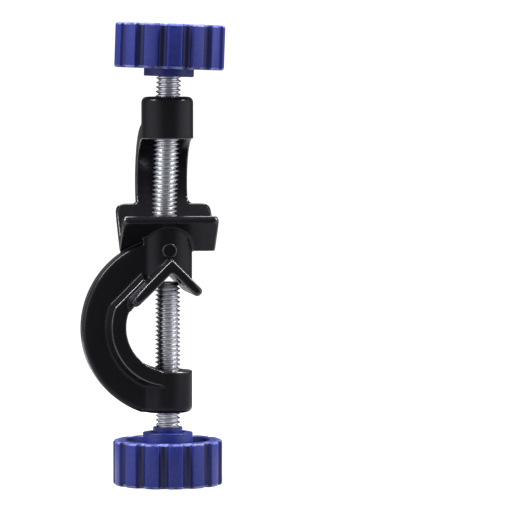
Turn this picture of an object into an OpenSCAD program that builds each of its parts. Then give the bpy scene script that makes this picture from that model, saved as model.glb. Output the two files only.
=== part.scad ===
// Boss head clamp: one cast body with two C jaws at right angles, each closed
// by a thumbscrew that pushes a rod into a V trough.
// It stands on the flat end of the lower knob. The origin is the centre of that
// face, +Z runs up the lower screw, the lower jaw opens to +X and the upper to -Y.

/* [Jaws] */
// Clear height from the bottom of the V to the face of the screw boss
jaw_gap = 31.5; // [26:0.5:40]
// Distance from the screw axis to the inner wall of the C
throat = 13.6; // [11:0.2:18]
// Depth of the C, from its inner wall to its outer edge
frame_depth = 13.4; // [10:0.2:20]
// How much the outer arc's radius exceeds its reach, below the widest point
lower_wider = 0.8; // [0:0.1:3]
// How much the outer arc's radius exceeds its reach, above the widest point
upper_wider = 1.8; // [0:0.1:4]
// How far the lower outer arc, carried on, would dip below the end of the boss
lower_dip = 1.3; // [0:0.1:3]
// Width of the flange that lines the inside of the C
flange_w = 16.4; // [14:0.2:22]
// Depth of that flange, measured outwards from the inner wall
flange_depth = 5.5; // [3:0.5:8]
// Thickness of the web outside the flange
web_t = 9; // [5:0.5:13]
// Distance of the V and the C towards the back of the jaw, off the screw axis
jaw_offset = 0.4; // [0:0.1:1]

/* [V troughs] */
// Length of each V trough along the rod it holds
v_len = 30.5; // [24:0.5:40]
// Thickness of the V plates
v_wall = 3; // [2:0.1:4]
// Reach of the V plate on the open side, from the bottom of the V to its tip
v_front = 9.5; // [7:0.1:12]
// Reach of the V plate on the closed side, from the bottom of the V to its tip
v_back = 12.8; // [9:0.1:14]
// Height between the bottoms of the two Vs
v_apart = 10; // [9:0.2:16]
// Corner radius of the V plates
v_corner = 1.4; // [0.5:0.1:3]

/* [Column and bosses] */
// Diameter of the column that joins the backs of the two Vs
column_d = 16.4; // [12:0.2:20]
// Diameter of the screw bosses
boss_d = 16.4; // [13:0.2:20]
// Height of the screw bosses
boss_h = 13.3; // [10:0.1:18]
// Radius round the outer end of the bosses
boss_round = 1.9; // [0.5:0.1:3]
// Diameter of the round pad on the front of the column
pad_d = 4.6; // [3:0.1:6]
// Diameter of the hollow in that pad
pad_hollow_d = 3.4; // [2:0.1:4.5]
// Height of the pad above the middle of the column
pad_z = 1.6; // [0:0.1:2]
// How far the pad stands out of the column
pad_proud = 0.9; // [0.4:0.1:2]
// Depth of the hollow in the pad
pad_hollow_depth = 0.5; // [0.2:0.1:0.8]

/* [Screws] */
// Diameter over the thread crests
screw_d = 7.94; // [6.5:0.02:10]
// Radial clearance round the crests in a tapped hole or in the knob
screw_fit = 0.06; // [0.02:0.01:0.1]
// Chamfer at the screw's tip
tip_chamfer = 0.9; // [0.3:0.1:1.4]
// Clearance between the screw's tip and the V with the jaw shut
tip_gap = 0.15; // [0.1:0.05:1]
// Free thread between the boss and the hub with the jaw shut
shut_gap = 6.3; // [2:0.1:12]
// Diameter of the screw's head inside the knob
head_d = 12; // [10.5:0.1:13]
// Height of that head
head_h = 4; // [2:0.1:6]
// Depth of the head's face below the face of the hub
head_depth = 5.5; // [3:0.1:7]
// Lean of the upper screw and its tapped hole, towards +X
upper_lean = 1.95; // [0:0.05:3]

/* [Knobs] */
// Diameter over the knob's lobes
knob_d = 34.6; // [30:0.2:45]
// Height of the knob, from its flat end to its rim
knob_h = 14.2; // [12:0.2:20]
// Number of lobes round the knob
lobes = 14; // [8:1:20]
// Radius of the grooves between the lobes
groove_r = 1.7; // [1.2:0.1:2.4]
// Depth of the grooves
groove_depth = 1.5; // [0.8:0.1:2]
// Thickness of the knob's wall, from its lobes to its hollow
knob_wall = 4.1; // [3:0.1:6]
// Thickness of the knob's flat end
knob_end_t = 3.2; // [2:0.1:4]
// Diameter of the hub
hub_d = 15.8; // [14.5:0.1:18]
// Height of the hub above the rim
hub_proud = 2.4; // [0:0.1:5]
// Chamfer round the knob's flat end
knob_chamfer = 0.5; // [0.2:0.1:1]
// Turn of the lower knob about its axis
lower_turn = -11.5; // [-13:0.5:13]
// Turn of the upper knob about its axis
upper_turn = 11; // [-13:0.5:13]
// Width of the ring-shaped recess in the lower knob's hub
recess_w = 0.8; // [0.5:0.1:1.5]
// Depth of that recess
recess_depth = 1; // [0.5:0.1:2]
// Wall of the moulded collar that stands round the lower screw
collar_t = 0.67; // [0.4:0.01:1]
// Height of that collar above the hub
collar_h = 1.6; // [0.5:0.1:3]

/* [Hidden] */
$fn = 96;
// A small overrun, so that cuts pass through the faces they open
over = 1;

// Heights, all measured from the foot
hub_top = knob_h + hub_proud;
boss_foot = hub_top + shut_gap;
mid_z = boss_foot + boss_h + jaw_gap + v_apart / 2;

// Heights in the lower jaw, measured from the middle of the column
v_in_z = -v_apart / 2;
v_mid_z = v_in_z + v_wall / sqrt(2);
v_out_z = v_in_z + v_wall * sqrt(2);
boss_face_z = v_in_z - jaw_gap;
boss_end_z = boss_face_z - boss_h;
boss_mid_z = boss_face_z - boss_h / 2;
hub_face_z = boss_end_z - shut_gap;
tip_z = v_in_z - jaw_offset - screw_d / 2 + tip_chamfer - tip_gap;
screw_len = tip_z - hub_face_z;

// The C: an inner circle that meets the boss face, inside two outer arcs that
// meet at its widest point, the lower one running down to the end of the boss.
// The inner circle is centred on the screw. Each outer arc's centre is moved
// sideways by its difference in radius, so that both reach the same width there.
frame_out = throat + frame_depth;
inner_r = throat + jaw_offset;
inner_z = boss_face_z + inner_r;
outer_low_r = frame_out + lower_wider;
outer_top_r = frame_out + upper_wider;
outer_z = boss_end_z + outer_low_r - lower_dip;
bore_r = screw_d / 2 + screw_fit;

// Diameters in the knobs that follow the knob's wall or the screw
hollow_d = knob_d - 2 * knob_wall;
collar_d = 2 * (bore_r + collar_t);
recess_d = collar_d + 2 * recess_w;

// Length of each V plate from the outer corner of the V to its round tip
front_plate = v_front * sqrt(2) + v_wall * (1 - 1 / sqrt(2));
back_plate = v_back * sqrt(2) + v_wall * (1 - 1 / sqrt(2));

// Rectangle from x = 0, centred on y, with its two far corners rounded
module corner_plate(length, width, r) {
    difference() {
        translate([0, -width / 2]) square([length, width]);
        for (side = [-1, 1])
            translate([length - r, side * (width / 2 - r)])
                difference() {
                    translate([0, side < 0 ? -r - over : 0]) square([r + over, r + over]);
                    circle(r = r);
                }
    }
}

// One plate of a V, along +X, its outer face on z = 0 and its tip full round
module v_plate(length) {
    intersection() {
        translate([0, 0, -v_wall])
            linear_extrude(v_wall) corner_plate(length, v_len, v_corner);
        union() {
            translate([0, -v_len, -v_wall]) cube([length - v_wall / 2, 2 * v_len, v_wall]);
            translate([length - v_wall / 2, v_len, -v_wall / 2])
                rotate([90, 0, 0]) cylinder(d = v_wall, h = 2 * v_len);
        }
    }
}

// The V trough of the lower jaw: its rod lies along Y
module v_trough() {
    translate([0, 0, v_out_z]) {
        rotate([0, 45, 0]) v_plate(front_plate);
        mirror([1, 0, 0]) rotate([0, 45, 0]) v_plate(back_plate);
    }
}

// Outline of the C and its neck, as seen along the rod; y here is the height
module c_outline() {
    difference() {
        union() {
            intersection() {
                translate([outer_low_r - frame_out, outer_z]) circle(r = outer_low_r, $fn = 180);
                translate([-frame_out, boss_end_z])
                    square([frame_out, outer_z - boss_end_z]);
            }
            intersection() {
                translate([outer_top_r - frame_out, outer_z]) circle(r = outer_top_r, $fn = 180);
                translate([-frame_out, outer_z]) square([frame_out, -v_in_z - outer_z]);
            }
        }
        jaw_opening();
    }
}

// The quarter-turn space below a point on the axis, as seen along the rod
module below_v(top_z) {
    side = 3 * jaw_gap;
    polygon([[0, top_z], [-side, top_z - side], [side, top_z - side]]);
}

// What the C leaves open, seen along the rod: the inner circle, the mouth of the
// jaw, and the straight head room that lets the screw reach the V
module jaw_opening() {
    intersection() {
        union() {
            translate([inner_r - throat, inner_z]) circle(r = inner_r, $fn = 120);
            translate([inner_r - throat, boss_face_z]) square([frame_out, jaw_gap]);
            translate([-inner_r / 2, inner_z]) square([frame_out, v_in_z - inner_z]);
        }
        below_v(v_in_z);
    }
}

// The flange that lines the inside of the C, up to the back plate of the V
module flange_outline() {
    intersection() {
        c_outline();
        translate([inner_r - throat, inner_z]) circle(r = inner_r + flange_depth, $fn = 120);
        below_v(v_mid_z);
    }
}

// A slab of the given thickness whose outline is seen along the rod
module along_rod(thickness) {
    translate([0, thickness / 2, 0]) rotate([90, 0, 0]) linear_extrude(thickness) children();
}

// The space inside the V of the lower jaw, from the middle of its plates inwards
module v_space() {
    translate([-jaw_offset, 0, 0]) along_rod(2 * frame_out) below_v(v_mid_z);
}

// Turns its children from the lower jaw's place to the upper jaw's
module turn_over() {
    rotate([0, 0, -90]) rotate([180, 0, 0]) children();
}

// A screw boss, rounded at its outer end
module boss() {
    rotate_extrude() difference() {
        square([boss_d / 2, boss_h]);
        translate([boss_d / 2 - boss_round, boss_round]) difference() {
            translate([0, -boss_round - over]) square([boss_round + over, boss_round + over]);
            circle(r = boss_round);
        }
    }
}

// One jaw below the middle of the column: its rod lies along Y and it opens to +X
module jaw() {
    difference() {
        translate([-jaw_offset, 0, 0]) along_rod(web_t) c_outline();
        turn_over() v_space();
    }
    translate([-jaw_offset, 0, 0]) {
        v_trough();
        along_rod(flange_w) flange_outline();
        translate([0, 0, boss_end_z]) boss();
    }
}

// The column between the backs of the two Vs, centred where their bottoms cross
module column() {
    difference() {
        translate([-jaw_offset, jaw_offset, 0])
            cylinder(d = column_d, h = 2 * column_d, center = true);
        v_space();
        turn_over() v_space();
    }
}

// The round pad on the front of the column, with its shallow hollow
module pad() {
    pad_out = column_d / 2 + pad_proud;
    translate([-jaw_offset, jaw_offset, pad_z]) rotate([90, 0, 0])
        difference() {
            translate([0, 0, column_d / 4]) cylinder(d = pad_d, h = pad_out - column_d / 4);
            translate([0, 0, pad_out - pad_hollow_depth]) cylinder(d = pad_hollow_d, h = over);
        }
}

// Puts its children, drawn in the lower jaw's place, where the upper jaw is
module as_upper() {
    translate([0, 0, mid_z]) turn_over() children();
}

// Leans its children with the upper screw, about the middle of the upper boss
module lean_upper() {
    translate([0, 0, mid_z - boss_mid_z]) rotate([0, upper_lean, 0])
        translate([0, 0, boss_mid_z - mid_z]) children();
}

// Tapped hole through the lower boss, at the thread's crest size
module lower_bore() {
    translate([0, 0, boss_end_z - over]) cylinder(r = bore_r, h = boss_h + 2 * over);
}

module clamp_body() {
    color("#1b1b1f") difference() {
        union() {
            translate([0, 0, mid_z]) {
                jaw();
                column();
                pad();
            }
            as_upper() jaw();
        }
        translate([0, 0, mid_z]) lower_bore();
        lean_upper() as_upper() lower_bore();
    }
}

// A screw in the lower jaw's place, at its closed position
module screw() {
    translate([0, 0, hub_face_z]) {
        cylinder(d = screw_d, h = screw_len - tip_chamfer);
        translate([0, 0, screw_len - tip_chamfer])
            cylinder(d1 = screw_d, d2 = screw_d - 2 * tip_chamfer, h = tip_chamfer);
        translate([0, 0, -head_depth]) cylinder(d = screw_d, h = head_depth);
        translate([0, 0, -head_depth - head_h]) cylinder(d = head_d, h = head_h);
    }
}

module lower_screw() {
    color("#b9bcc2") translate([0, 0, mid_z]) screw();
}

module upper_screw() {
    color("#b9bcc2") lean_upper() as_upper() screw();
}

// A knob on its flat end at z = 0, hollow side up, with room for the screw's head
module knob(turn) {
    difference() {
        union() {
            difference() {
                union() {
                    cylinder(d1 = knob_d - 2 * knob_chamfer, d2 = knob_d, h = knob_chamfer);
                    translate([0, 0, knob_chamfer]) cylinder(d = knob_d, h = knob_h - knob_chamfer);
                }
                translate([0, 0, knob_end_t]) cylinder(d = hollow_d, h = knob_h);
                for (i = [0 : lobes - 1])
                    rotate([0, 0, -90 + turn + i * 360 / lobes])
                        translate([knob_d / 2 - groove_depth + groove_r, 0, -over])
                            cylinder(r = groove_r, h = knob_h + 2 * over, $fn = 32);
            }
            cylinder(d = hub_d, h = hub_top);
        }
        translate([0, 0, hub_top - head_depth]) cylinder(r = bore_r, h = head_depth + over);
        translate([0, 0, hub_top - head_depth - head_h - screw_fit])
            cylinder(r = head_d / 2 + screw_fit, h = head_h + 2 * screw_fit);
    }
}

module lower_knob() {
    color("#2a2f8f") {
        difference() {
            knob(lower_turn);
            translate([0, 0, hub_top - recess_depth])
                difference() {
                    cylinder(d = recess_d, h = recess_depth + over);
                    cylinder(d = collar_d, h = recess_depth + over);
                }
        }
        translate([0, 0, hub_top - over])
            difference() {
                cylinder(d = collar_d, h = collar_h + over);
                translate([0, 0, -over]) cylinder(r = bore_r, h = collar_h + 3 * over);
            }
    }
}

module upper_knob() {
    color("#2a2f8f") lean_upper() as_upper()
        translate([0, 0, -mid_z]) rotate([0, 0, 90]) knob(-upper_turn);
}

clamp_body();
upper_screw();
upper_knob();
lower_screw();
lower_knob();
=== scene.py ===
import math

import bpy
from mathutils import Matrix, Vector


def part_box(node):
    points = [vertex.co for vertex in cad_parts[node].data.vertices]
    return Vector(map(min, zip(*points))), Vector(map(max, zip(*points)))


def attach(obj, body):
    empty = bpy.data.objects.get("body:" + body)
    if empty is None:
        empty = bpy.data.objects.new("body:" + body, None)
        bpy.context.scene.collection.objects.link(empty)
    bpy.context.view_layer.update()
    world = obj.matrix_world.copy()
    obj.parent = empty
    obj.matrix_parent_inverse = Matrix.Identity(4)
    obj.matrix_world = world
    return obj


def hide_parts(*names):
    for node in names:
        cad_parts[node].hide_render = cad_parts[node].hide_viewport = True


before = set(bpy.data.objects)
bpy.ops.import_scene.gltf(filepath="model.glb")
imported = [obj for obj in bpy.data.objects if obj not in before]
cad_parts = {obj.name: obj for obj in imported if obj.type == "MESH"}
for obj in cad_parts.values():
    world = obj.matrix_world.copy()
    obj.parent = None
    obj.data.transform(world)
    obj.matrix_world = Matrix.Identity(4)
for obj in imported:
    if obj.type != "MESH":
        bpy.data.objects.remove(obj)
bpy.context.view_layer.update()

# ---- Camera, floor and light -------------------------------------------------
# The clamp stands on its lower knob on a white bench top, left of the middle of
# the view, and is seen from the height of its upper knob, a little to the left.
MM = 0.001
bpy.ops.object.select_all(action="DESELECT")

camera_turn = math.radians(-7.3)
camera_distance = 1.25
camera_height = 0.138
view_width = 0.1616
sensor_width = 36
aim_right = 0.0279
aim_height = 0.0722
camera_place = Vector((math.sin(camera_turn) * camera_distance,
                       -math.cos(camera_turn) * camera_distance, camera_height))
aim = Vector((math.cos(camera_turn) * aim_right, math.sin(camera_turn) * aim_right, aim_height))
bpy.ops.object.camera_add(location=camera_place)
camera = bpy.context.object
camera.rotation_mode = "QUATERNION"
camera.rotation_quaternion = (aim - camera_place).to_track_quat("-Z", "Y")
camera.data.sensor_width = sensor_width
camera.data.lens = sensor_width * (aim - camera_place).length / view_width
camera.data.clip_start = 0.05
bpy.context.scene.camera = camera

stage_width = 6
floor_front = -0.16
floor_back = 0.45
backdrop_y = 1.6
floor_depth = floor_back - floor_front
bpy.ops.mesh.primitive_plane_add(size=1, location=(0, floor_front + floor_depth / 2, 0))
floor = bpy.context.object
bpy.ops.transform.resize(value=(stage_width, floor_depth, 1))
bpy.ops.object.transform_apply(location=True, rotation=True, scale=True)
floor.name = "floor"
bpy.ops.mesh.primitive_plane_add(size=stage_width, location=(0, backdrop_y, 0),
                                 rotation=(math.pi / 2, 0, 0))
backdrop = bpy.context.object
backdrop.name = "backdrop"


def stage_material(name, tone, near_glow, far_glow, mirror_glow, mirror_reach):
    """A matt surface with one glow for the camera and a weaker one for reflections.

    The first goes from near_glow to far_glow with the distance from the clamp's foot,
    and the second from mirror_glow to nothing at mirror_reach.
    """
    near = 0.08
    far = 0.45
    m = bpy.data.materials.new(name)
    m.use_nodes = True
    nodes, links = m.node_tree.nodes, m.node_tree.links
    nodes.clear()
    out = nodes.new("ShaderNodeOutputMaterial")
    matt = nodes.new("ShaderNodeBsdfDiffuse")
    matt.inputs["Color"].default_value = (tone, tone, tone, 1)
    place = nodes.new("ShaderNodeTexCoord")
    away = nodes.new("ShaderNodeVectorMath")
    away.operation = "LENGTH"
    links.new(place.outputs["Object"], away.inputs[0])
    path = nodes.new("ShaderNodeLightPath")
    parts = []
    for ray, start, stop, at_start, at_stop in (
            ("Is Camera Ray", near, far, near_glow, far_glow),
            ("Is Glossy Ray", 0.3 * mirror_reach, mirror_reach, mirror_glow, 0)):
        fade = nodes.new("ShaderNodeMapRange")
        fade.inputs["From Min"].default_value = start
        fade.inputs["From Max"].default_value = stop
        fade.inputs["To Min"].default_value = at_start
        fade.inputs["To Max"].default_value = at_stop
        only = nodes.new("ShaderNodeMath")
        only.operation = "MULTIPLY"
        links.new(away.outputs["Value"], fade.inputs["Value"])
        links.new(fade.outputs["Result"], only.inputs[0])
        links.new(path.outputs[ray], only.inputs[1])
        parts.append(only)
    level = nodes.new("ShaderNodeMath")
    level.operation = "ADD"
    light = nodes.new("ShaderNodeEmission")
    light.inputs["Color"].default_value = (1, 1, 1, 1)
    both = nodes.new("ShaderNodeAddShader")
    links.new(parts[0].outputs[0], level.inputs[0])
    links.new(parts[1].outputs[0], level.inputs[1])
    links.new(level.outputs[0], light.inputs["Strength"])
    links.new(matt.outputs[0], both.inputs[0])
    links.new(light.outputs[0], both.inputs[1])
    links.new(both.outputs[0], out.inputs["Surface"])
    return m


floor.data.materials.append(stage_material(
    "white_bench", tone=0.2, near_glow=1.0, far_glow=1.1, mirror_glow=0.7, mirror_reach=0.25))
backdrop.data.materials.append(stage_material(
    "white_backdrop", tone=0.05, near_glow=1.1, far_glow=1.1, mirror_glow=0.12, mirror_reach=9))

# the world lights the clamp a little from all round and is white to the camera
world_light = 0.28
world_seen = 1.1
world = bpy.data.worlds.new("studio")
world.use_nodes = True
nodes, links = world.node_tree.nodes, world.node_tree.links
sky = nodes["Background"]
sky.inputs["Color"].default_value = (1, 1, 1, 1)
path = nodes.new("ShaderNodeLightPath")
level = nodes.new("ShaderNodeMapRange")
level.inputs["To Min"].default_value = world_light
level.inputs["To Max"].default_value = world_seen
links.new(path.outputs["Is Camera Ray"], level.inputs["Value"])
links.new(level.outputs["Result"], sky.inputs["Strength"])
bpy.context.scene.world = world
bpy.context.scene.view_settings.view_transform = "Standard"


def softbox(name, place, target, width, height, power, centre=1, rim=1):
    """A flat soft lamp that faces a point, brighter in its centre than at its rim."""
    bpy.ops.object.light_add(type="AREA", location=place)
    lamp = bpy.context.object
    lamp.name = name
    lamp.data.shape = "RECTANGLE"
    lamp.data.size = width
    lamp.data.size_y = height
    lamp.data.energy = power
    lamp.rotation_mode = "QUATERNION"
    lamp.rotation_quaternion = (Vector(target) - Vector(place)).to_track_quat("-Z", "Y")
    lamp.data.use_nodes = True
    nodes, links = lamp.data.node_tree.nodes, lamp.data.node_tree.links
    point = nodes.new("ShaderNodeNewGeometry")
    away = nodes.new("ShaderNodeVectorMath")
    away.operation = "DISTANCE"
    away.inputs[1].default_value = place
    fade = nodes.new("ShaderNodeMapRange")
    fade.interpolation_type = "SMOOTHSTEP"
    fade.inputs["From Max"].default_value = width / 2
    fade.inputs["To Min"].default_value = centre
    fade.inputs["To Max"].default_value = rim
    links.new(point.outputs["Position"], away.inputs[0])
    links.new(away.outputs["Value"], fade.inputs["Value"])
    links.new(fade.outputs["Result"], nodes["Emission"].inputs["Strength"])


middle = (0, 0, 0.075)
softbox("left_softbox", (-0.90, -0.28, 0.15), middle,
        width=2.0, height=1.1, power=5.0, centre=2, rim=0.2)
softbox("right_softbox", (0.90, -0.26, 0.15), middle,
        width=2.0, height=1.1, power=5.5, centre=2, rim=0.2)
softbox("top_softbox", (0, 0.50, 0.85), middle,
        width=0.6, height=0.5, power=10)
softbox("high_left_lamp", (-0.64, -0.05, 0.85), middle,
        width=0.3, height=0.6, power=14)
softbox("high_right_lamp", (0.64, -0.10, 0.85), middle,
        width=0.3, height=0.6, power=15)

# ---- Casting -----------------------------------------------------------------
# One die casting in aluminium alloy, painted gloss black: two C jaws at right
# angles, back to back on a short column, each with a V trough and a tapped boss.
# The paint softens every edge, and the two holes are tapped after casting.
body_low, body_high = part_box("clamp_body")
mid_z = (body_low.z + body_high.z) / 2
boss_end = body_low.z - mid_z

jaw_gap = 31.5 * MM
throat = 13.6 * MM
frame_depth = 13.4 * MM
jaw_offset = 0.4 * MM
web_t = 9 * MM
flange_w = 16.4 * MM
flange_face = 4.6 * MM
flange_foot = 6.1 * MM
v_len = 30.5 * MM
v_wall = 3 * MM
v_front = 9.5 * MM
v_back = 12.8 * MM
v_apart = 10 * MM
column_r = 8.2 * MM
boss_r = 8.2 * MM
boss_h = 13.3 * MM
lower_wider = 0.8 * MM
upper_wider = 1.8 * MM
lower_dip = 1.3 * MM
web_round = 1.3 * MM
boss_round = 1.7 * MM
front_corner = 1.4 * MM
back_corner = 2.6 * MM

v_in = -v_apart / 2
v_mid = v_in + v_wall / math.sqrt(2)
v_out = v_in + v_wall * math.sqrt(2)
boss_face = v_in - jaw_gap
frame_out = throat + frame_depth
inner_r = throat + jaw_offset
inner_z = boss_face + inner_r
low_r = frame_out + lower_wider
top_r = frame_out + upper_wider
outer_z = boss_end + low_r - lower_dip


def use(obj):
    """Makes one object the only one selected and the active one."""
    bpy.ops.object.select_all(action="DESELECT")
    obj.select_set(True)
    bpy.context.view_layer.objects.active = obj


def settle(obj):
    """Puts an object's place, turn and scale into its mesh."""
    use(obj)
    bpy.ops.object.transform_apply(location=True, rotation=True, scale=True)
    return obj


def cylinder(radius, length, place, along="Z", sides=128, end_radius=None):
    """A round bar about its middle, or a cone frustum if end_radius is given."""
    turn = {"X": (0, math.pi / 2, 0), "Y": (math.pi / 2, 0, 0), "Z": (0, 0, 0)}[along]
    bpy.ops.object.select_all(action="DESELECT")
    bpy.ops.mesh.primitive_cone_add(
        vertices=sides, radius1=radius, radius2=radius if end_radius is None else end_radius,
        depth=length, location=place, rotation=turn)
    return settle(bpy.context.object)


def block(low, high):
    """A box between two corners."""
    bpy.ops.object.select_all(action="DESELECT")
    bpy.ops.mesh.primitive_cube_add(
        size=1, location=[(a + b) / 2 for a, b in zip(low, high)],
        scale=[b - a for a, b in zip(low, high)])
    return settle(bpy.context.object)


def start_line(place):
    """Starts a mesh with one vertex and leaves it in edit mode, to be extruded."""
    bpy.ops.object.select_all(action="DESELECT")
    bpy.ops.mesh.primitive_plane_add(size=MM, location=place)
    line = settle(bpy.context.object)
    bpy.ops.object.mode_set(mode="EDIT")
    bpy.ops.mesh.select_mode(type="VERT")
    bpy.ops.mesh.select_all(action="SELECT")
    bpy.ops.mesh.merge(type="CENTER")
    return line


def pick_faces(obj, chosen):
    """Selects the faces that pass the test, and leaves edit mode on."""
    bpy.ops.object.mode_set(mode="EDIT")
    bpy.ops.mesh.select_mode(type="FACE")
    bpy.ops.mesh.select_all(action="DESELECT")
    bpy.ops.object.mode_set(mode="OBJECT")
    for face in obj.data.polygons:
        face.select = chosen(face)
    bpy.ops.object.mode_set(mode="EDIT")


def apply_modifier(obj, kind, **settings):
    """Adds a modifier with these settings and applies it."""
    use(obj)
    mod = obj.modifiers.new(kind.lower(), kind)
    for key, value in settings.items():
        setattr(mod, key, value)
    bpy.ops.object.modifier_apply(modifier=mod.name)


def combine(target, tool, how):
    """Joins a tool solid to the target, or cuts it away, and drops the tool."""
    before = len(target.data.vertices), sum(v.co.length for v in target.data.vertices)
    apply_modifier(target, "BOOLEAN", object=tool, operation=how, solver="MANIFOLD")
    after = len(target.data.vertices), sum(v.co.length for v in target.data.vertices)
    if before == after:
        raise RuntimeError("a boolean changed nothing: one of its two solids is open")
    bpy.data.objects.remove(tool)
    return target


def trim(obj, point, outward):
    """Cuts a solid with a plane, drops the outer side and closes the cut."""
    use(obj)
    bpy.ops.object.mode_set(mode="EDIT")
    bpy.ops.mesh.select_all(action="SELECT")
    bpy.ops.mesh.bisect(plane_co=point, plane_no=outward, use_fill=True,
                        clear_outer=True, threshold=1e-7)
    bpy.ops.object.mode_set(mode="OBJECT")
    return obj


def round_edges(obj, chosen, radius, segments=4):
    """Bevels the edges whose two ends both pass the test."""
    use(obj)
    bpy.ops.object.mode_set(mode="EDIT")
    bpy.ops.mesh.select_mode(type="EDGE")
    bpy.ops.mesh.select_all(action="DESELECT")
    bpy.ops.object.mode_set(mode="OBJECT")
    for edge in obj.data.edges:
        edge.select = all(chosen(obj.data.vertices[v].co) for v in edge.vertices)
    bpy.ops.object.mode_set(mode="EDIT")
    bpy.ops.mesh.bevel(offset=radius, segments=segments, affect="EDGES")
    bpy.ops.object.mode_set(mode="OBJECT")
    return obj


def round_rims(disc, thickness, radius):
    """Bevels the two rims of a disc that stands on the Y axis, one at a time."""
    for end in (-thickness / 2, thickness / 2):
        round_edges(disc, lambda v: abs(v.y - end) < 1e-6, radius)
    return disc


def v_plate(reach, side, corner_r):
    """One plate of the V, from its outer corner down to its tip on one side."""
    length = reach * math.sqrt(2) + v_wall * (1 - 1 / math.sqrt(2))
    plate = block((0, -v_len / 2, -v_wall), (length, v_len / 2, 0))
    near_tip = length - v_wall * 0.1
    tip_round = v_wall * 0.42
    round_edges(plate, lambda v: v.x > near_tip and v.y > 0, corner_r)
    round_edges(plate, lambda v: v.x > near_tip and v.y < 0, corner_r)
    rim = length - corner_r - 0.01 * MM
    round_edges(plate, lambda v: v.x > rim and v.z > -0.1 * MM, tip_round, 5)
    round_edges(plate, lambda v: v.x > rim and v.z < -v_wall + 0.1 * MM, tip_round, 5)
    plate.rotation_euler = (0, math.pi / 4, 0 if side > 0 else math.pi)
    plate.location = (-jaw_offset, 0, v_out)
    return settle(plate)


def v_room(over_lower):
    """The space inside a V from the middle of its plates: a block on its edge."""
    half = 35 * MM
    room = block((-half, -half, -half), (half, half, half))
    drop = half * math.sqrt(2)
    if over_lower:
        room.rotation_euler = (0, math.pi / 4, 0)
        room.location = (-jaw_offset, 0, v_mid - drop)
    else:
        room.rotation_euler = (math.pi / 4, 0, 0)
        room.location = (0, jaw_offset, -v_mid + drop)
    return settle(room)


# the C, seen along its rod: two outer arcs, and a flange with sloping sides
centre_x = inner_r - throat - jaw_offset
web = cylinder(low_r, web_t, (low_r - frame_out - jaw_offset, 0, outer_z), "Y", 180)
round_rims(web, web_t, web_round)
trim(web, (0, 0, outer_z), (0, 0, 1))
web_top = cylinder(top_r, web_t, (top_r - frame_out - jaw_offset, 0, outer_z), "Y", 180)
round_rims(web_top, web_t, web_round)
trim(web_top, (0, 0, outer_z - 0.01 * MM), (0, 0, -1))
trim(web_top, (0, 0, -v_in), (0, 0, 1))
combine(web, web_top, "UNION")
trim(web, (-jaw_offset, 0, 0), (1, 0, 0))
trim(web, (0, 0, boss_end + 0.3 * MM), (0, 0, -1))
combine(web, v_room(False), "DIFFERENCE")

# the flange runs round the C's inner wall, turns a rounded corner and goes on above
# the V plate as far as the column; its outline is drawn point by point
wing_step = 2.6 * MM
corner_r = 4.5 * MM
foot_r = inner_r + flange_foot
wing_line = v_out + wing_step * math.sqrt(2) + jaw_offset
drop = centre_x + wing_line - corner_r * math.sqrt(2) - inner_z
corner_x = centre_x - (drop + math.sqrt(2 * (foot_r - corner_r) ** 2 - drop ** 2)) / 2
corner_z = corner_x + wing_line - corner_r * math.sqrt(2)
first_turn = 1.5 * math.pi - math.asin((centre_x + jaw_offset) / foot_r)
corner_turn = math.atan2(corner_z - inner_z, corner_x - centre_x)
flange_end = -8.6 * MM
into_plate = (wing_step + v_wall / 2) / math.sqrt(2)
outline = []
for i in range(61):
    turn = first_turn + (corner_turn - first_turn) * i / 60
    outline.append((centre_x + foot_r * math.cos(turn), inner_z + foot_r * math.sin(turn)))
for i in range(1, 9):
    turn = corner_turn + (0.75 * math.pi - corner_turn) * i / 8
    outline.append((corner_x + corner_r * math.cos(turn), corner_z + corner_r * math.sin(turn)))
outline.append((flange_end, flange_end + wing_line))
outline.append((flange_end + into_plate, flange_end + wing_line - into_plate))
outline.append(outline[0])

slab_t = web_t + 0.04 * MM
slope_w = flange_foot - flange_face
flange = start_line((outline[0][0], -slab_t / 2, outline[0][1]))
for (x, z), (next_x, next_z) in zip(outline, outline[1:]):
    bpy.ops.mesh.extrude_vertices_move(
        TRANSFORM_OT_translate={"value": (next_x - x, 0, next_z - z)})
bpy.ops.mesh.select_all(action="SELECT")
bpy.ops.mesh.remove_doubles(threshold=0.01 * MM)
bpy.ops.mesh.edge_face_add()
bpy.ops.mesh.extrude_region_move(TRANSFORM_OT_translate={"value": (0, slab_t, 0)})
bpy.ops.mesh.select_all(action="SELECT")
bpy.ops.mesh.normals_make_consistent(inside=False)
for side in (-1, 1):
    pick_faces(flange, lambda face: abs(face.center.y - side * slab_t / 2) < 1e-6)
    bpy.ops.mesh.inset(thickness=slope_w, depth=(flange_w - slab_t) / 2)
bpy.ops.object.mode_set(mode="OBJECT")
combine(web, flange, "UNION")

# what the C leaves open: its round inner wall, its mouth, and head room for the screw;
# the last is a little longer, so that no two end faces lie in one plane
reach = 30 * MM
long_reach = 30.5 * MM
mouth = block((centre_x, -reach, boss_face), (frame_out, reach, v_in))
head_room = block((-inner_r / 2, -long_reach, inner_z), (5 * MM, long_reach, v_in))
opening = cylinder(inner_r, 2 * reach, (centre_x, 0, inner_z), "Y")
combine(opening, mouth, "UNION")
combine(opening, head_room, "UNION")
for side in (-1, 1):
    trim(opening, (-jaw_offset, 0, v_in), (side, 0, 1))
combine(web, opening, "DIFFERENCE")

jaw = web
combine(jaw, v_plate(v_front, 1, front_corner), "UNION")
combine(jaw, v_plate(v_back, -1, back_corner), "UNION")
boss = cylinder(boss_r, boss_h, (-jaw_offset, 0, boss_end + boss_h / 2), "Z")
round_edges(boss, lambda v: v.z < boss_end + 0.1 * MM, boss_round)
combine(jaw, boss, "UNION")


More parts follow.
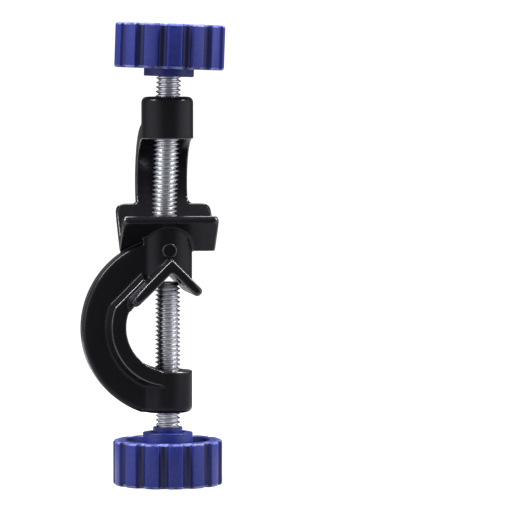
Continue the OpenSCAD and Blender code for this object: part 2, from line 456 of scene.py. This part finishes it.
def web_fillet(radius, axis_y, side, low_z, high_z):
    """Fills the corner between the web's face and a round part with a concave curve."""
    curve = 3.5 * MM
    lap = 0.1 * MM
    curve_y = side * (web_t / 2 + curve)
    across = curve_y - axis_y
    curve_x = -jaw_offset - math.sqrt((radius + curve) ** 2 - across ** 2)
    touch = radius / (radius + curve)
    touch_x = -jaw_offset + (curve_x + jaw_offset) * touch
    touch_y = axis_y + across * touch
    ys = sorted((side * (web_t / 2 - lap), touch_y + side * lap))
    fill = block((curve_x, ys[0], low_z), (touch_x + 2 * lap, ys[1], high_z))
    tube = cylinder(curve, high_z - low_z + 2 * MM,
                    (curve_x, curve_y, (low_z + high_z) / 2), "Z", 96)
    combine(fill, tube, "DIFFERENCE")
    combine(jaw, fill, "UNION")


def tip_fillet(side):
    """Fills the corner between the flange's side and the tip of the V plate."""
    curve = 1.7 * MM
    low_x = -13.3 * MM
    high_x = -12.3 * MM
    middle_x = -12.8 * MM
    tip_z = v_in - v_back + v_wall / math.sqrt(2)
    face_y = side * flange_w / 2
    ys = sorted((face_y - side * 0.2 * MM, face_y + side * curve))
    fill = block((low_x, ys[0], tip_z - curve), (high_x, ys[1], tip_z + 0.9 * MM))
    tube = cylinder(curve, 6 * MM, (middle_x, face_y + side * curve, tip_z - curve), "X", 64)
    combine(fill, tube, "DIFFERENCE")
    combine(jaw, fill, "UNION")


for side in (-1, 1):
    web_fillet(column_r, jaw_offset, side, low_z=-10 * MM, high_z=8.5 * MM)
    web_fillet(boss_r, 0, side, low_z=boss_end + MM, high_z=boss_end + 10 * MM)
    tip_fillet(side)

use(jaw)
bpy.ops.object.duplicate()
upper_jaw = bpy.context.object
upper_jaw.rotation_euler = (math.pi, 0, -math.pi / 2)
settle(upper_jaw)

column = cylinder(column_r, 4 * column_r, (-jaw_offset, jaw_offset, 0), "Z")
combine(column, v_room(True), "DIFFERENCE")
combine(column, v_room(False), "DIFFERENCE")
casting = combine(combine(jaw, column, "UNION"), upper_jaw, "UNION")
casting.name = "casting"
casting.location = (0, 0, mid_z)
settle(casting)

apply_modifier(casting, "REMESH", mode="VOXEL", voxel_size=0.3 * MM)
apply_modifier(casting, "SMOOTH", factor=0.5, iterations=8)
apply_modifier(casting, "DECIMATE", ratio=0.6)

# the tapped holes, each with a small countersink at both mouths
bore_r = 4.03 * MM
mouth_r = 4.6 * MM
upper_lean = math.radians(1.95)
boss_mid = (boss_face + boss_end) / 2


def bore():
    """The cutter for the lower tapped hole, from below the boss to above it."""
    hole = cylinder(bore_r, boss_h + 4 * MM, (0, 0, boss_mid), "Z", 96)
    deep = 0.6 * MM
    wide = mouth_r + deep
    narrow = bore_r - 0.05 * MM
    for end, below, above in ((boss_end, wide, narrow), (boss_face, narrow, wide)):
        cone = cylinder(below, 2 * deep, (0, 0, end), "Z", 96, end_radius=above)
        combine(hole, cone, "UNION")
    return hole


def move_lower(obj):
    """Puts a piece drawn about the middle of the column at its height."""
    obj.location = (0, 0, mid_z)
    return settle(obj)


def move_upper(obj):
    """Turns a piece from the lower jaw's place to the upper's, with its lean."""
    obj.rotation_euler = (math.pi, 0, -math.pi / 2)
    obj.location = (0, 0, mid_z)
    settle(obj)
    pivot = mid_z - boss_mid
    obj.rotation_euler = (0, upper_lean, 0)
    obj.location = (-math.sin(upper_lean) * pivot, 0, (1 - math.cos(upper_lean)) * pivot)
    return settle(obj)


combine(casting, move_lower(bore()), "DIFFERENCE")
combine(casting, move_upper(bore()), "DIFFERENCE")

# the round pad on the front of the column, with a shallow hollow
pad_r = 2.3 * MM
pad_t = 4 * MM
pad_proud = 0.9 * MM
pad_height = 1.6 * MM
pad_hollow_r = 1.7 * MM
pad_hollow_depth = 0.5 * MM
pad_front = jaw_offset - column_r - pad_proud
pad = cylinder(pad_r, pad_t, (-jaw_offset, pad_front + pad_t / 2, pad_height), "Y", 64)
round_edges(pad, lambda v: abs(v.y - pad_front) < 1e-6, 0.3 * MM, 3)
hollow = cylinder(pad_hollow_r, 4 * pad_hollow_depth,
                  (-jaw_offset, pad_front - pad_hollow_depth, pad_height), "Y", 64)
combine(pad, hollow, "DIFFERENCE")
combine(casting, move_lower(pad), "UNION")
use(casting)
bpy.ops.object.shade_smooth_by_angle(angle=math.radians(40))

# how sharply the surface turns outward at each point, as a measure per metre, for the
# coat on the edges: none up to least_bend and all of it from full_bend on
least_bend = 200
full_bend = 400
points = casting.data.vertices
bend = [0.0] * len(points)
joins = [0] * len(points)
for side in casting.data.edges:
    low, high = (points[i] for i in side.vertices)
    step = high.co - low.co
    for point, way in ((low, step), (high, -step)):
        bend[point.index] -= point.normal.dot(way) / max(step.length_squared, 1e-12)
        joins[point.index] += 1
sharp = casting.data.attributes.new("edge", "FLOAT", "POINT")
for i, value in enumerate(sharp.data):
    share = (bend[i] / max(joins[i], 1) - least_bend) / (full_bend - least_bend)
    value.value = min(1, max(0, share))

paint = bpy.data.materials.new("black_gloss_paint")
paint.use_nodes = True
nodes, links = paint.node_tree.nodes, paint.node_tree.links
paint_shader = nodes["Principled BSDF"]
paint_shader.inputs["Base Color"].default_value = (0.0086, 0.0084, 0.0104, 1)
paint_shader.inputs["Roughness"].default_value = 0.19
paint_shader.inputs["Specular Tint"].default_value = (0.88, 0.85, 1.0, 1)
paint_shader.inputs["Specular IOR Level"].default_value = 0.15
paint_shader.inputs["Coat IOR"].default_value = 1.72
paint_shader.inputs["Coat Roughness"].default_value = 0.19
edge = nodes.new("ShaderNodeAttribute")
edge.attribute_name = "edge"
links.new(edge.outputs["Fac"], paint_shader.inputs["Coat Weight"])
place = nodes.new("ShaderNodeTexCoord")
peel = nodes.new("ShaderNodeTexNoise")
peel.inputs["Scale"].default_value = 700
bump = nodes.new("ShaderNodeBump")
bump.inputs["Strength"].default_value = 0.12
bump.inputs["Distance"].default_value = 0.04 * MM
links.new(place.outputs["Object"], peel.inputs["Vector"])
links.new(peel.outputs["Fac"], bump.inputs["Height"])
links.new(bump.outputs["Normal"], paint_shader.inputs["Normal"])
casting.data.materials.clear()
casting.data.materials.append(paint)

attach(casting, "casting")
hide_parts("clamp_body")

# ---- Screws ------------------------------------------------------------------
# Two zinc plated steel screws, 5/16 inch with 18 threads to the inch. Each has a
# round head moulded into its knob and a chamfered tip that presses on the rod.
pitch = 1.411 * MM
crest_r = 3.97 * MM
root_r = 3.1 * MM
crest_flat = pitch / 8
flank = (crest_r - root_r) * math.tan(math.radians(30))
tip_chamfer = 0.9 * MM
tip_gap = 0.15 * MM
shut_gap = 6.3 * MM
head_depth = 5.5 * MM
head_h = 4 * MM
head_r = 6 * MM
blank_r = 4.2 * MM
hub_face = boss_end - shut_gap
tip = v_in - jaw_offset - crest_r + tip_chamfer - tip_gap
head_face = hub_face - head_depth


def threaded_rod():
    """A right-hand thread drawn as one pitch of its outline, wound up the axis."""
    low = head_face - 2 * pitch
    rod = start_line((crest_r, 0, low))
    root_flat = pitch - crest_flat - 2 * flank
    depth = crest_r - root_r
    for step in ((0, 0, crest_flat), (-depth, 0, flank), (0, 0, root_flat), (depth, 0, flank)):
        bpy.ops.mesh.extrude_vertices_move(TRANSFORM_OT_translate={"value": step})
    bpy.ops.object.mode_set(mode="OBJECT")
    turns = math.ceil((tip - low) / pitch) + 2
    apply_modifier(rod, "SCREW", axis="Z", angle=2 * math.pi, screw_offset=pitch,
                   iterations=turns, steps=64, render_steps=64)
    use(rod)
    bpy.ops.object.mode_set(mode="EDIT")
    bpy.ops.mesh.select_all(action="SELECT")
    bpy.ops.mesh.remove_doubles(threshold=0.005 * MM)
    bpy.ops.mesh.fill_holes(sides=0)
    bpy.ops.mesh.select_all(action="SELECT")
    bpy.ops.mesh.normals_make_consistent(inside=False)
    bpy.ops.object.mode_set(mode="OBJECT")
    # the blank has the screw's length and the chamfer at its tip
    blank_low = head_face - MM
    shoulder = tip - tip_chamfer
    blank = cylinder(blank_r, shoulder - blank_low, (0, 0, (shoulder + blank_low) / 2), "Z", 96)
    end_h = tip_chamfer + 0.1 * MM
    end = cylinder(crest_r + 0.1 * MM, end_h, (0, 0, tip - end_h / 2), "Z", 96,
                   end_radius=crest_r - tip_chamfer)
    combine(blank, end, "UNION")
    combine(rod, blank, "INTERSECT")
    combine(rod, cylinder(head_r, head_h, (0, 0, head_face - head_h / 2), "Z", 64), "UNION")
    use(rod)
    bpy.ops.object.shade_smooth_by_angle(angle=math.radians(25))
    return rod


zinc = bpy.data.materials.new("zinc_plate")
zinc.use_nodes = True
zinc_shader = zinc.node_tree.nodes["Principled BSDF"]
zinc_shader.inputs["Base Color"].default_value = (0.61, 0.62, 0.66, 1)
zinc_shader.inputs["Metallic"].default_value = 1
zinc_shader.inputs["Roughness"].default_value = 0.28

for name, move in (("lower_screw", move_lower), ("upper_screw", move_upper)):
    piece = move(threaded_rod())
    piece.name = name + "_piece"
    piece.data.materials.clear()
    piece.data.materials.append(zinc)
    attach(piece, name.replace("screw", "knob_turn"))
    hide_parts(name)

# ---- Knobs -------------------------------------------------------------------
# Two moulded blue plastic cups with fourteen lobes, closed at the outer end, with
# a hub inside that holds the screw's head. The lower one's hub has a small collar.
knob_r = 17.3 * MM
knob_h = 14.2 * MM
lobes = 14
groove_r = 1.7 * MM
groove_depth = 1.5 * MM
groove_at = knob_r - groove_depth + groove_r
hollow_r = 13.2 * MM
end_t = 3.2 * MM
hub_r = 7.9 * MM
hub_top = 16.6 * MM
knob_foot = -mid_z
screw_room = 0.06 * MM
rim_r = 0.8 * MM
lip_round = 0.35 * MM
recess_r = 5.5 * MM
recess_depth = MM
collar_r = 4.7 * MM
collar_h = 1.6 * MM
side_low = rim_r / 4
side_high = knob_h - rim_r / 4
side_r = hollow_r + 0.5 * MM
groove_half = math.acos((knob_r ** 2 + groove_at ** 2 - groove_r ** 2) / (2 * knob_r * groove_at))


def from_groove(point, phase):
    """The angle between a point and the middle of the nearest groove."""
    share = 2 * math.pi / lobes
    turn = math.atan2(point.y, point.x) - phase + share / 2
    return turn % share - share / 2


def lobed_prism(phase):
    """The cup's outside: a groove and a lobe drawn by two spins, then repeated."""
    start = Vector((knob_r * math.cos(groove_half), -knob_r * math.sin(groove_half), rim_r))
    centre = Vector((groove_at, 0, 0))
    sweep = 2 * math.asin(knob_r * math.sin(groove_half) / groove_r)
    lobe = 2 * math.pi / lobes - 2 * groove_half
    prism = start_line(start)
    bpy.ops.mesh.spin(steps=8, angle=sweep, center=centre, axis=(0, 0, 1))
    bpy.ops.mesh.spin(steps=6, angle=-lobe, center=(0, 0, 0), axis=(0, 0, 1))
    bpy.ops.mesh.select_all(action="SELECT")
    bpy.ops.mesh.spin(steps=lobes, dupli=True, angle=2 * math.pi, center=(0, 0, 0),
                      axis=(0, 0, 1))
    bpy.ops.mesh.select_all(action="SELECT")
    bpy.ops.mesh.remove_doubles(threshold=0.02 * MM)
    bpy.ops.mesh.edge_face_add()
    bpy.ops.mesh.extrude_region_move(
        TRANSFORM_OT_translate={"value": (0, 0, knob_h - 2 * rim_r)})
    bpy.ops.mesh.select_all(action="SELECT")
    bpy.ops.mesh.normals_make_consistent(inside=False)
    bpy.ops.object.mode_set(mode="OBJECT")
    # the corners of the lobes are rounded, then both ends run over a quarter round
    # into a narrow flat ring
    round_edges(prism, lambda v: abs(abs(from_groove(v, 0)) - groove_half) < 1e-4, 0.3 * MM, 3)
    turns = [math.radians(22.5 * i) for i in range(5)]
    steps = [(math.sin(turn), 1 - math.cos(turn)) for turn in turns]
    steps.append((1, 1.5))
    for level, way in ((rim_r, -1), (knob_h - rim_r, 1)):
        for (rise, inward), (next_rise, next_inward) in zip(steps, steps[1:]):
            height = level + way * rim_r * rise
            pick_faces(prism, lambda face: abs(face.center.z - height) < 1e-6
                       and abs(face.normal.z) > 0.99 and len(face.vertices) > 4)
            bpy.ops.mesh.extrude_region_move(
                TRANSFORM_OT_translate={"value": (0, 0, way * rim_r * (next_rise - rise))})
            narrow = (knob_r - rim_r * next_inward) / (knob_r - rim_r * inward)
            bpy.ops.transform.resize(value=(narrow, narrow, 1), center_override=(0, 0, 0))
            bpy.ops.object.mode_set(mode="OBJECT")
    prism.rotation_euler = (0, 0, phase)
    return settle(prism)


def cup(phase, collar):
    """A knob on its flat end at z = 0, hollow side up."""
    knob = lobed_prism(phase)
    combine(knob, cylinder(hollow_r, knob_h, (0, 0, end_t + knob_h / 2), "Z", 112), "DIFFERENCE")
    round_edges(knob, lambda v: abs(math.hypot(v.x, v.y) - hollow_r) < 1e-6
                and v.z > knob_h - 1e-6, lip_round, 3)
    hub = cylinder(hub_r, hub_top - MM, (0, 0, (hub_top + MM) / 2), "Z", 96)
    round_edges(hub, lambda v: v.z > hub_top - 1e-6, lip_round, 3)
    combine(knob, hub, "UNION")
    if collar:
        ring = cylinder(recess_r, 2 * recess_depth, (0, 0, hub_top), "Z", 96)
        core = cylinder(collar_r, 4 * recess_depth, (0, 0, hub_top), "Z", 96)
        combine(ring, core, "DIFFERENCE")
        combine(knob, ring, "DIFFERENCE")
        lip = cylinder(collar_r, recess_depth + collar_h,
                       (0, 0, hub_top + (collar_h - recess_depth) / 2), "Z", 96)
        combine(knob, lip, "UNION")
    hole_h = 9 * MM
    hole = cylinder(crest_r + screw_room, hole_h,
                    (0, 0, hub_top - head_depth + hole_h / 2), "Z", 96)
    pocket = cylinder(head_r + screw_room, head_h + 2 * screw_room,
                      (0, 0, hub_top - head_depth - head_h / 2), "Z", 96)
    combine(hole, pocket, "UNION")
    combine(knob, hole, "DIFFERENCE")
    # how deep each point lies in a groove, which the material turns into painted shade,
    # and which faces belong to a rounded rim
    deep = knob.data.attributes.new("groove", "FLOAT", "POINT")
    for point, value in zip(knob.data.vertices, deep.data):
        outside = math.hypot(point.co.x, point.co.y) > side_r
        if outside and side_low < point.co.z < side_high:
            value.value = max(0, 1 - (from_groove(point.co, phase) / groove_half) ** 2)
    worn = knob.data.attributes.new("edge", "FLOAT", "FACE")
    for face, value in zip(knob.data.polygons, worn.data):
        outside = math.hypot(face.center.x, face.center.y) > side_r
        value.value = 1 if outside and 0.15 < abs(face.normal.z) < 0.97 else 0
    use(knob)
    bpy.ops.object.shade_smooth_by_angle(angle=math.radians(32))
    return knob


plastic = bpy.data.materials.new("blue_plastic_moulding")
plastic.use_nodes = True
nodes, links = plastic.node_tree.nodes, plastic.node_tree.links
plastic_shader = nodes["Principled BSDF"]
place = nodes.new("ShaderNodeTexCoord")
speck = nodes.new("ShaderNodeTexNoise")
speck.inputs["Scale"].default_value = 900
speck.inputs["Detail"].default_value = 4
tint = nodes.new("ShaderNodeValToRGB")
tint.color_ramp.elements[0].position = 0.45
tint.color_ramp.elements[0].color = (0.017, 0.025, 0.190, 1)
tint.color_ramp.elements[1].position = 0.78
tint.color_ramp.elements[1].color = (0.025, 0.035, 0.230, 1)
# painted shade: the colour goes darker towards the middle of each groove, where shade falls in
# the recesses
groove = nodes.new("ShaderNodeAttribute")
groove.attribute_name = "groove"
painted_groove_shade = nodes.new("ShaderNodeMix")
painted_groove_shade.data_type = "RGBA"
painted_groove_shade.inputs["B"].default_value = (0.008, 0.008, 0.055, 1)
edge = nodes.new("ShaderNodeAttribute")
edge.attribute_name = "edge"
patches = nodes.new("ShaderNodeTexNoise")
patches.inputs["Scale"].default_value = 420
patches.inputs["Detail"].default_value = 3
patchy = nodes.new("ShaderNodeMapRange")
patchy.inputs["From Min"].default_value = 0.35
patchy.inputs["From Max"].default_value = 0.62
scuffed = nodes.new("ShaderNodeMath")
scuffed.operation = "MULTIPLY"
scuff = nodes.new("ShaderNodeMix")
scuff.data_type = "RGBA"
scuff.inputs["B"].default_value = (0.20, 0.23, 0.60, 1)
links.new(place.outputs["Object"], speck.inputs["Vector"])
links.new(speck.outputs["Fac"], tint.inputs["Fac"])
links.new(groove.outputs["Fac"], painted_groove_shade.inputs["Factor"])
links.new(tint.outputs["Color"], painted_groove_shade.inputs["A"])
links.new(place.outputs["Object"], patches.inputs["Vector"])
links.new(patches.outputs["Fac"], patchy.inputs["Value"])
links.new(patchy.outputs["Result"], scuffed.inputs[0])
links.new(edge.outputs["Fac"], scuffed.inputs[1])
links.new(scuffed.outputs[0], scuff.inputs["Factor"])
links.new(painted_groove_shade.outputs["Result"], scuff.inputs["A"])
links.new(scuff.outputs["Result"], plastic_shader.inputs["Base Color"])
plastic_shader.inputs["Roughness"].default_value = 0.32
plastic_shader.inputs["Specular IOR Level"].default_value = 0.3

for name, phase, collar, move in (
        ("lower_knob", math.radians(-90 - 11.5), True, move_lower),
        ("upper_knob", math.radians(14.7), False, move_upper)):
    piece = cup(phase, collar)
    piece.location = (0, 0, knob_foot)
    piece = move(settle(piece))
    piece.name = name + "_piece"
    piece.data.materials.clear()
    piece.data.materials.append(plastic)
    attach(piece, name + "_turn")
    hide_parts(name)
